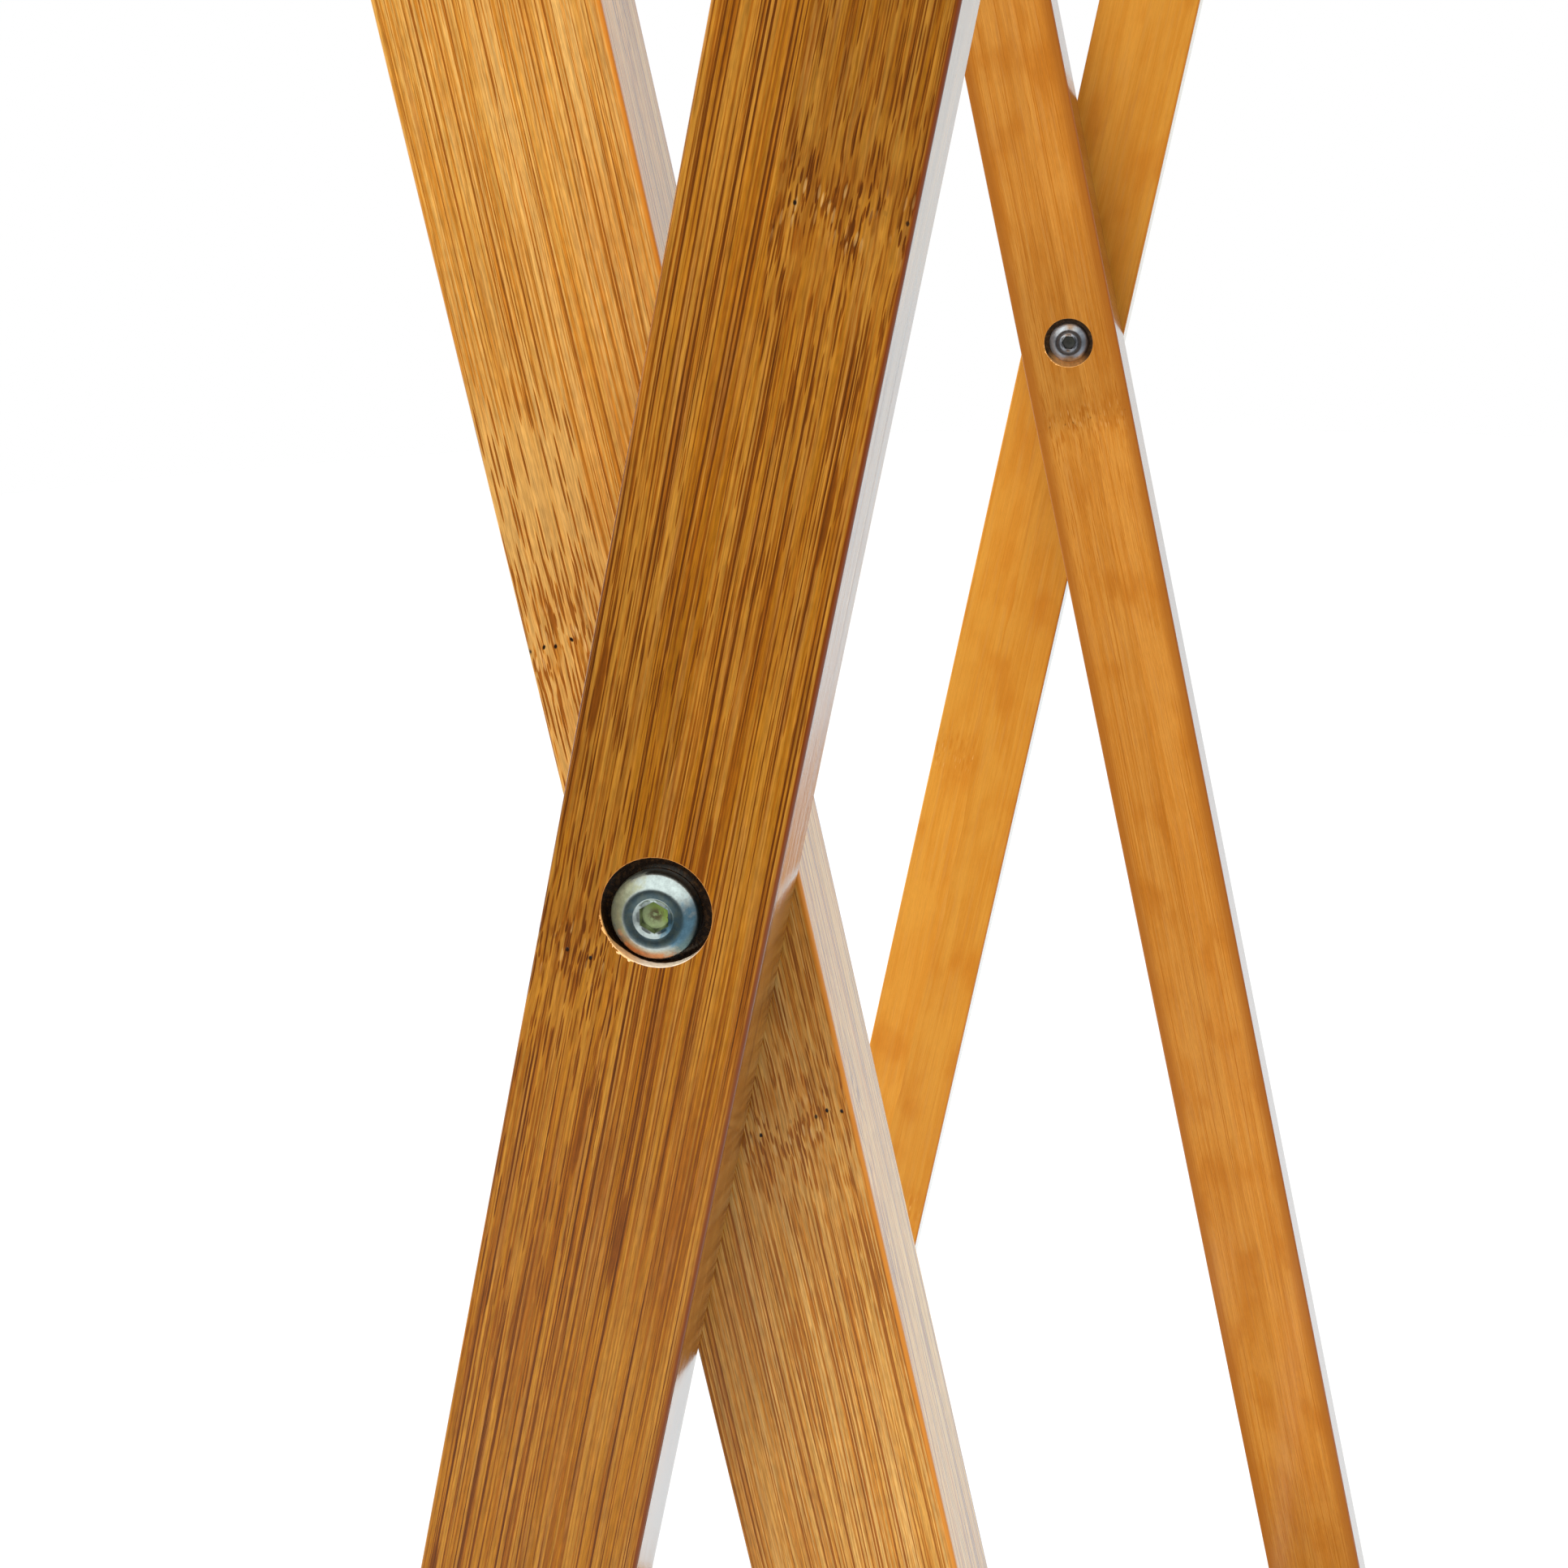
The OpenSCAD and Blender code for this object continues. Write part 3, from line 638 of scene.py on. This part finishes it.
finish_stile("outer_stile_left", 1, DARK_TONES, 1.0, OUTER_RUNGS, True, seam=2.0,
             strips=((-7.6, 0.85, 0.62), (93.8, 0.80, 0.55)), hole_gap=3.4,
             contrast=1.15, shade=0.14, red_edge=rgb(0.16, 0.030, 0.004))
finish_stile("inner_stile_left", -1, LIGHT_TONES, 2.0, (), False, seam=1.0,
             strips=((35.5, 0.75, 1.0), (-39.7, 0.85, 0.6)), tilt=0.12, hole_gap=2.0,
             contrast=1.3, reach=0.5, red_edge=rgb(0.62, 0.22, 0.020))
finish_stile("inner_stile_right", -1, FAR_INNER_TONES, 3.0, (), True, seam=-2.0,
             strips=((-24.0, 0.75, 0.75), (-24.0, 0.8, 0.6)), contrast=0.5,
             cloud=0.7, shade=0.15, cut=BORE_SOFT_SHADE, red_edge=rgb(0.30, 0.085, 0.008),
             margins=(4.5, rgb(0.33, 0.105, 0.010)))
finish_stile("outer_stile_right", 1, FAR_OUTER_TONES, 4.0, OUTER_RUNGS, False, seam=1.0,
             strips=((-142.0, 0.7, 0.3), (118.0, 0.7, 0.3)), contrast=0.3, cloud=0.75,
             red_edge=rgb(0.50, 0.17, 0.012))

chance = random.Random(12)

# Turns that lay a board's grain along X or along Y
ALONG_X = (0, math.pi / 2, 0)
ALONG_Y = (-math.pi / 2, 0, 0)


def finish_board(node, turn, seed, thick_axis):
    """A slat, rail or rung: a grain of its own about its own middle."""
    low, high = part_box(node)
    half = (high - low)[thick_axis] / 2 / MM
    strips = [(chance.uniform(-KNUCKLE_SPACING / 2, KNUCKLE_SPACING / 2),
               chance.uniform(0.4, 0.9), chance.uniform(0.2, 0.8)) for _ in range(2)]
    level = chance.uniform(0.90, 1.08)
    tones = [rgb(*(c * level for c in tone[:3])) for tone in LIGHT_TONES]
    material = bamboo(node + " bamboo", tuple((low + high) / 2), turn, -half, tones, seed,
                      seam=chance.uniform(-4, 4), strips=strips,
                      tilt=chance.uniform(-0.1, 0.1), contrast=chance.uniform(0.6, 0.9))
    finish_node(node, material)


boards = [(rung, ALONG_X, 2) for rung in OUTER_RUNGS + INNER_RUNGS]
for shelf, slats in SHELVES.items():
    boards += [(f"{shelf}_rail_{side}", ALONG_Y, 0) for side in SIDES]
    boards += [(f"{shelf}_slat_{slat}", ALONG_X, 2) for slat in range(1, slats + 1)]
for number, (board, turn, thick_axis) in enumerate(boards, start=10):
    finish_board(board, turn, number, thick_axis)
for washers in ["pivot_washers"] + [f"{shelf}_hinge_washers" for shelf in SHELVES]:
    finish_node(washers, NYLON)
for nuts in ("outer_cross_nuts", "inner_cross_nuts"):
    finish_node(nuts, GREY_ZINC)


# ---------------------------------------------------------------- turned pieces

# Points round a turned piece, and the angle past which its edges are sharp
STEPS = 48
SHARP_EDGE = math.radians(32)

# Shares of a cross recess's radius: across each arm by steps from its middle, and between arms
CROSS_ARMS = {0: 1.0, 1: 0.93}
CROSS_WAIST = 0.42


def section(shape, radius, k):
    """Radius of a ring at step k: round, hexagonal (radius over flats) or a cross recess."""
    if shape == "hex":
        angle = 2 * math.pi * k / STEPS
        return radius / math.cos((angle % (math.pi / 3)) - math.pi / 6)
    if shape == "cross":
        quarter = STEPS // 4
        return radius * CROSS_ARMS.get(min(k % quarter, quarter - k % quarter), CROSS_WAIST)
    return radius


def ring_points(radius, height, shape="round"):
    """The points of one ring of a turned piece, or its single point on the axis."""
    if radius == 0:
        return [(0, 0, height * MM)]
    points = []
    for k in range(STEPS):
        angle = 2 * math.pi * k / STEPS
        reach = section(shape, radius, k) * MM
        points.append((reach * math.cos(angle), reach * math.sin(angle), height * MM))
    return points


def turned(name, rings):
    """A closed solid from rings of (radius, height, shape) in millimetres, on +Z."""
    bm = bmesh.new()
    loops = [[bm.verts.new(point) for point in ring_points(*ring)] for ring in rings]
    for a, b in zip(loops, loops[1:]):
        for k in range(STEPS):
            m = (k + 1) % STEPS
            if len(a) == 1:
                bm.faces.new((a[0], b[k], b[m]))
            elif len(b) == 1:
                bm.faces.new((a[k], a[m], b[0]))
            else:
                bm.faces.new((a[k], a[m], b[m], b[k]))
    bmesh.ops.recalc_face_normals(bm, faces=bm.faces)
    for face in bm.faces:
        face.smooth = True
    for edge in bm.edges:
        if len(edge.link_faces) == 2 and edge.calc_face_angle() > SHARP_EDGE:
            edge.smooth = False
    mesh = bpy.data.meshes.new(name)
    bm.to_mesh(mesh)
    bm.free()
    own = mesh.attributes.new("own", "FLOAT_VECTOR", "POINT")
    for item, vertex in zip(own.data, mesh.vertices):
        item.vector = vertex.co / MM
    return bpy.data.objects.new(name, mesh)


def head_rings(top):
    """A flat-topped head with a sloped ring and a hexagon socket with a drilled bottom."""
    floor = top - SOCKET_DEPTH
    return [(0, floor - SOCKET_CONE), (SOCKET_CONE_R, floor),
            (SOCKET_FLATS_R - 0.2, floor, "hex"), (SOCKET_FLATS_R - 0.1, top - 0.55, "hex"),
            (SOCKET_MOUTH_R, top - 0.48), (SOCKET_LIP_R, top - 0.06), (SOCKET_RIM_R, top),
            (HEAD_FLAT_R - 0.25, top), (HEAD_FLAT_R, top - 0.04),
            (HEAD_FLAT_R + 0.25, top - 0.16), (HEAD_R - 0.35, HEAD_RIM + 0.16),
            (HEAD_R - 0.10, HEAD_RIM - 0.06), (HEAD_R, HEAD_RIM - 0.35), (HEAD_R, 0.2),
            (HEAD_R - 0.15, 0)]


def bolt(name, reach):
    return turned(name, head_rings(HEAD_H) + [
        (BOLT_R, 0), (BOLT_R, BOLT_TIP - reach), (BOLT_R - BOLT_TIP, -reach), (0, -reach)])


def sleeve_nut(name, reach):
    return turned(name, head_rings(HEAD_H) + [
        (SLEEVE_R, 0), (SLEEVE_R, SLEEVE_EDGE - reach), (SLEEVE_R - SLEEVE_EDGE, -reach),
        (THREAD_R, -reach), (THREAD_R, -THREAD_END), (0, -THREAD_END)])


def slat_screw(name):
    """A countersunk screw with a cross recess. Its head's top is at 0."""
    return turned(name, [
        (0, -RECESS_DEPTH), (0.9, -1.9, "cross"), (1.9, -0.25, "cross"), (RECESS_R, 0, "cross"),
        (SCREW_HEAD_R - 0.2, 0), (SCREW_HEAD_R, -0.12), (SCREW_R, -(SCREW_HEAD_R - SCREW_R)),
        (SCREW_R, 1 - SCREW_L), (0, -SCREW_L)])


def glide(name):
    """A foot glide with a rounded rim, and its pin above."""
    return turned(name, [
        (0, FOOT_HOLLOW), (FOOT_HOLLOW_R, FOOT_HOLLOW), (FOOT_HOLLOW_R + 0.4, 0),
        (FOOT_R - 1.4, 0), (FOOT_R - 0.5, 0.35), (FOOT_R - 0.05, 1.1), (FOOT_R, 1.9),
        (FOOT_R, FOOT_T), (FOOT_PIN_R, FOOT_T), (FOOT_PIN_R, FOOT_T + FOOT_PIN_L),
        (0, FOOT_T + FOOT_PIN_L)])


# ---------------------------------------------------------------- fasteners on their seats

def seating_tree():
    """Sets one fastener on each point, facing as the point says and turned by chance."""
    tree = bpy.data.node_groups.new("fasteners on seats", "GeometryNodeTree")
    sockets = {}
    for label, kind in (("Geometry", "NodeSocketGeometry"), ("Fastener", "NodeSocketObject"),
                        ("Most turn", "NodeSocketFloat"), ("Seed", "NodeSocketInt"),
                        ("Finish", "NodeSocketMaterial")):
        sockets[label] = tree.interface.new_socket(name=label, in_out="INPUT", socket_type=kind)
    tree.interface.new_socket(name="Geometry", in_out="OUTPUT", socket_type="NodeSocketGeometry")
    n = Nodes(tree)
    inlet = tree.nodes.new("NodeGroupInput").outputs
    facing = n.add("GeometryNodeInputNamedAttribute", {"Name": "facing"},
                   data_type="FLOAT_VECTOR").outputs[0]
    aim = n.add("FunctionNodeAlignRotationToVector", {"Vector": facing}, axis="Z").outputs[0]
    spin = n.add("FunctionNodeRandomValue", {3: inlet["Most turn"], "Seed": inlet["Seed"]},
                 data_type="FLOAT").outputs[1]
    turn = n.add("FunctionNodeAxisAngleToRotation", {"Angle": spin}).outputs[0]
    aim = n.add("FunctionNodeRotateRotation", {0: aim, 1: turn}, rotation_space="LOCAL").outputs[0]
    shape = n.add("GeometryNodeObjectInfo", {0: inlet["Fastener"]}).outputs["Geometry"]
    made = n.add("GeometryNodeInstanceOnPoints", {"Points": inlet["Geometry"], "Instance": shape,
                                                  "Rotation": aim}).outputs[0]
    made = n.add("GeometryNodeRealizeInstances", {0: made}).outputs[0]
    made = n.add("GeometryNodeSetMaterial", {"Geometry": made,
                                             "Material": inlet["Finish"]}).outputs[0]
    n.link(made, tree.nodes.new("NodeGroupOutput").inputs[0])
    return tree, {label: socket.identifier for label, socket in sockets.items()}


SEATING, SEATING_INPUTS = seating_tree()


def seat_fasteners(name, fastener, seats, material, body, replaced, most_turn, seed):
    """One plain mesh of a fastener repeated on its seats, riding on its body."""
    points = bpy.data.meshes.new(name + "_points")
    points.from_pydata([place for place, _ in seats], [], [])
    facing = points.attributes.new("facing", "FLOAT_VECTOR", "POINT")
    for item, (_, direction) in zip(facing.data, seats):
        item.vector = direction
    maker = bpy.data.objects.new(name + "_maker", points)
    scene = bpy.context.scene.collection
    scene.objects.link(maker)
    modifier = maker.modifiers.new("seats", "NODES")
    modifier.node_group = SEATING
    for label, value in (("Fastener", fastener), ("Most turn", most_turn), ("Seed", seed),
                         ("Finish", material)):
        modifier[SEATING_INPUTS[label]] = value
    shown = maker.evaluated_get(bpy.context.evaluated_depsgraph_get())
    mesh = bpy.data.meshes.new_from_object(shown)
    mesh.name = name
    piece = bpy.data.objects.new(name, mesh)
    scene.objects.link(piece)
    bpy.data.objects.remove(maker)
    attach(piece, body)
    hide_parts(*replaced)


LEFT, RIGHT, UP = Vector((-1, 0, 0)), Vector((1, 0, 0)), Vector((0, 0, 1))

# The most that bolts and nuts, and screws and glides, are turned by chance, in radians
FREE_TURN = 1.0
SCREW_TURN = 1.5


def head_seats(node, axes, slack=Vector()):
    """Seats of bolts whose heads face outwards, with their tops at the node's outer ends."""
    low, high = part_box(node)
    seats = []
    for axis in axes:
        for x, facing in ((low.x + HEAD_H * MM, LEFT), (high.x - HEAD_H * MM, RIGHT)):
            seats.append((Vector((x, axis.y, axis.z)) + slack * MM, facing))
    return seats


def sleeve_seats(node, reach):
    """Seats of sleeve nuts, whose heads face the middle of the shelf."""
    low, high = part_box(node)
    y, z = (low.y + high.y) / 2, (low.z + high.z) / 2
    return [(Vector((low.x + reach * MM, y, z)), RIGHT),
            (Vector((high.x - reach * MM, y, z)), LEFT)]


def sleeve_reach(node):
    """Length of a sleeve below its head, from the right one of two mirrored sleeve nuts."""
    head_top = min(v.co.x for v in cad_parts[node].data.vertices if v.co.x > 0)
    return (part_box(node)[1].x - head_top) / MM - HEAD_H


pivot_bolt = bolt("pivot_bolt", PIVOT_REACH)
rung_bolt = bolt("rung_bolt", RUNG_REACH)
seat_fasteners("pivot_bolts_finished", pivot_bolt,
               head_seats("pivot_bolts", [CROSSING], HEAD_SLACK), BRIGHT_ZINC, "outer_frame",
               ["pivot_bolts"], 0.0, 1)
for node, body, finish in (("pivot_sleeve_nuts", "outer_frame", GREY_ZINC),
                           ("top_hinge_sleeve_nuts", "top_shelf", BRIGHT_ZINC),
                           ("middle_hinge_sleeve_nuts", "middle_shelf", BRIGHT_ZINC),
                           ("bottom_hinge_sleeve_nuts", "bottom_shelf", BRIGHT_ZINC)):
    reach = sleeve_reach(node)
    seat_fasteners(node + "_finished", sleeve_nut(node + "_shape", reach),
                   sleeve_seats(node, reach), finish, body, [node], FREE_TURN, 2)

seat_fasteners("outer_rung_bolts_finished", rung_bolt,
               head_seats("outer_rung_bolts", [centre(rung) for rung in OUTER_RUNGS]),
               BRIGHT_ZINC, "outer_frame", ["outer_rung_bolts"], FREE_TURN, 3)
seat_fasteners("inner_rung_bolts_finished", rung_bolt,
               head_seats("inner_rung_bolts", [centre(rung) for rung in INNER_RUNGS]),
               BRIGHT_ZINC, "inner_frame", ["inner_rung_bolts"], FREE_TURN, 4)
for shelf in SHELVES:
    node = f"{shelf}_hinge_bolts"
    seat_fasteners(node + "_finished", pivot_bolt, head_seats(node, [centre(node)]),
                   BRIGHT_ZINC, f"{shelf}_shelf", [node], FREE_TURN, 5)

screw = slat_screw("slat_screw")
for shelf, slats in SHELVES.items():
    seats = []
    for slat in range(1, slats + 1):
        low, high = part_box(f"{shelf}_slat_{slat}")
        for side in SIDES:
            x = centre(f"{shelf}_rail_{side}").x
            seats.append((Vector((x, (low.y + high.y) / 2, high.z)), UP))
    seat_fasteners(f"{shelf}_slat_screws_finished", screw, seats, BRIGHT_ZINC,
                   f"{shelf}_shelf", [f"{shelf}_slat_screws"], SCREW_TURN, 6)

foot = glide("glide")
for frame_name in ("outer", "inner"):
    low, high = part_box(f"{frame_name}_feet")
    y = (low.y + high.y) / 2
    seats = [(Vector((x, y, low.z)), UP) for x in (low.x + FOOT_R * MM, high.x - FOOT_R * MM)]
    seat_fasteners(f"{frame_name}_feet_finished", foot, seats, RUBBER, f"{frame_name}_frame",
                   [f"{frame_name}_feet"], SCREW_TURN, 7)


# ---------------------------------------------------------------- camera, floor and light

VIEW_PLACE = Vector((-0.7079, -0.0881, 0.8044))
VIEW_AHEAD = Vector((0.9505, 0.1724, -0.2586)).normalized()
VIEW_ROLL = math.radians(-0.69)
VIEW_LENS = 73.51
SENSOR_W = 36
NEAR_CLIP = 0.01

WHITE = rgb(1, 1, 1)

# The floor's radius and middle in metres, and how it glows to the camera and to shiny pieces
FLOOR_R = 2.6
FLOOR_X = 1.95
FLOOR_GREY = rgb(0.62, 0.62, 0.62)
FLOOR_GLOW = 0.25
FLOOR_SHINE = 0.55
FLOOR_SHINE_TONE = rgb(0.15, 0.35, 0.45)

# The light from all round: its brighter side, its lowest and highest levels, and for shiny
# pieces its tone and how dim the room is
SKY_SIDE = (-0.55, 0.55, 0.63)
SKY_LEVELS = (0.45, 1.50)
SKY_SHINE_TONE = rgb(0.88, 0.97, 1.0)
ROOM_DIM = 0.97

# Where the softboxes are aimed, and their width, in metres
LAMP_TARGET = (0, 0, 0.75)
LAMP_SIZE = 2.0


def add_camera():
    """A camera at the left side that looks a little down, rolled by a hair."""
    right = Vector((VIEW_AHEAD.y, -VIEW_AHEAD.x, 0)).normalized()
    up = right.cross(VIEW_AHEAD)
    turned_right = math.cos(VIEW_ROLL) * right + math.sin(VIEW_ROLL) * up
    turned_up = -math.sin(VIEW_ROLL) * right + math.cos(VIEW_ROLL) * up
    camera = bpy.data.objects.new("camera", bpy.data.cameras.new("camera"))
    bpy.context.scene.collection.objects.link(camera)
    camera.data.lens = VIEW_LENS
    camera.data.sensor_width = SENSOR_W
    camera.data.clip_start = NEAR_CLIP
    matrix = Matrix((turned_right, turned_up, -VIEW_AHEAD)).transposed().to_4x4()
    matrix.translation = VIEW_PLACE
    camera.matrix_world = matrix
    bpy.context.scene.camera = camera


def add_floor():
    """A round pale floor that fades to white and keeps the shelf's shadow."""
    bm = bmesh.new()
    bmesh.ops.create_circle(bm, cap_ends=True, segments=96, radius=FLOOR_R,
                            matrix=Matrix.Translation((FLOOR_X, 0, 0)))
    mesh = bpy.data.meshes.new("floor")
    bm.to_mesh(mesh)
    bm.free()
    floor = bpy.data.objects.new("floor", mesh)
    bpy.context.scene.collection.objects.link(floor)
    material, n, shader = new_material("pale floor")
    shader.inputs["Base Color"].default_value = FLOOR_GREY
    shader.inputs["Roughness"].default_value = 1.0
    shader.inputs["Specular IOR Level"].default_value = 0.0
    path = n.add("ShaderNodeLightPath").outputs
    shiny = n.larger(path["Is Glossy Ray"], path["Is Transmission Ray"])
    tone = n.blend(path["Is Camera Ray"], FLOOR_SHINE_TONE, WHITE)
    level = n.plus(n.times(path["Is Camera Ray"], FLOOR_GLOW), n.times(shiny, FLOOR_SHINE))
    glow = n.add("ShaderNodeEmission", {"Color": tone, "Strength": level}).outputs[0]
    both = n.add("ShaderNodeAddShader", {0: shader.outputs[0], 1: glow}).outputs[0]
    n.link(both, n.tree.nodes["Material Output"].inputs["Surface"])
    mesh.materials.append(material)


def add_world():
    """Soft light from all round. Shiny pieces also see the dim room behind the camera and, low
    down, the pale floor that runs into it."""
    world = bpy.data.worlds.new("studio")
    bpy.context.scene.world = world
    world.use_nodes = True
    n = Nodes(world.node_tree)
    sky = world.node_tree.nodes["Background"]
    path = n.add("ShaderNodeLightPath").outputs
    seen = path["Is Camera Ray"]
    towards = n.add("ShaderNodeTexCoord").outputs["Generated"]
    x, y, z = n.split(towards)
    dim = n.times(n.step(x, 0.25, -0.15), n.step(z, 0.40, 0.05),
                  n.step(n.unsigned(n.minus(y, 0.2)), 0.35, 0.95, 1.0, 0.55),
                  n.step(z, -0.27, -0.43, 1.0, 0.65))
    room = n.line(dim, -ROOM_DIM, 1.0)
    shiny = n.larger(path["Is Glossy Ray"], path["Is Transmission Ray"])
    level = n.larger(seen, n.times(shiny, room))
    soft = n.step(n.along(towards, SKY_SIDE), -1, 1, *SKY_LEVELS)
    diffuse = n.times(soft, n.minus(1.0, n.larger(seen, shiny)))
    n.link(n.plus(level, diffuse), sky.inputs["Strength"])
    n.link(n.blend(shiny, WHITE, SKY_SHINE_TONE), sky.inputs["Color"])


def add_lamp(name, place, power):
    """A round softbox aimed at the middle of the shelf."""
    lamp = bpy.data.lights.new(name, "AREA")
    lamp.shape = "DISK"
    lamp.size = LAMP_SIZE
    lamp.energy = power
    holder = bpy.data.objects.new(name, lamp)
    bpy.context.scene.collection.objects.link(holder)
    holder.location = place
    holder.visible_glossy = False
    holder.rotation_mode = "QUATERNION"
    holder.rotation_quaternion = (Vector(LAMP_TARGET) - Vector(place)).to_track_quat("-Z", "Y")


add_camera()
add_floor()
add_world()
add_lamp("main softbox", (-1.6, 0.9, 2.1), 24)
add_lamp("back softbox", (1.8, 0.6, 2.4), 12)
bpy.context.scene.view_settings.view_transform = "Standard"
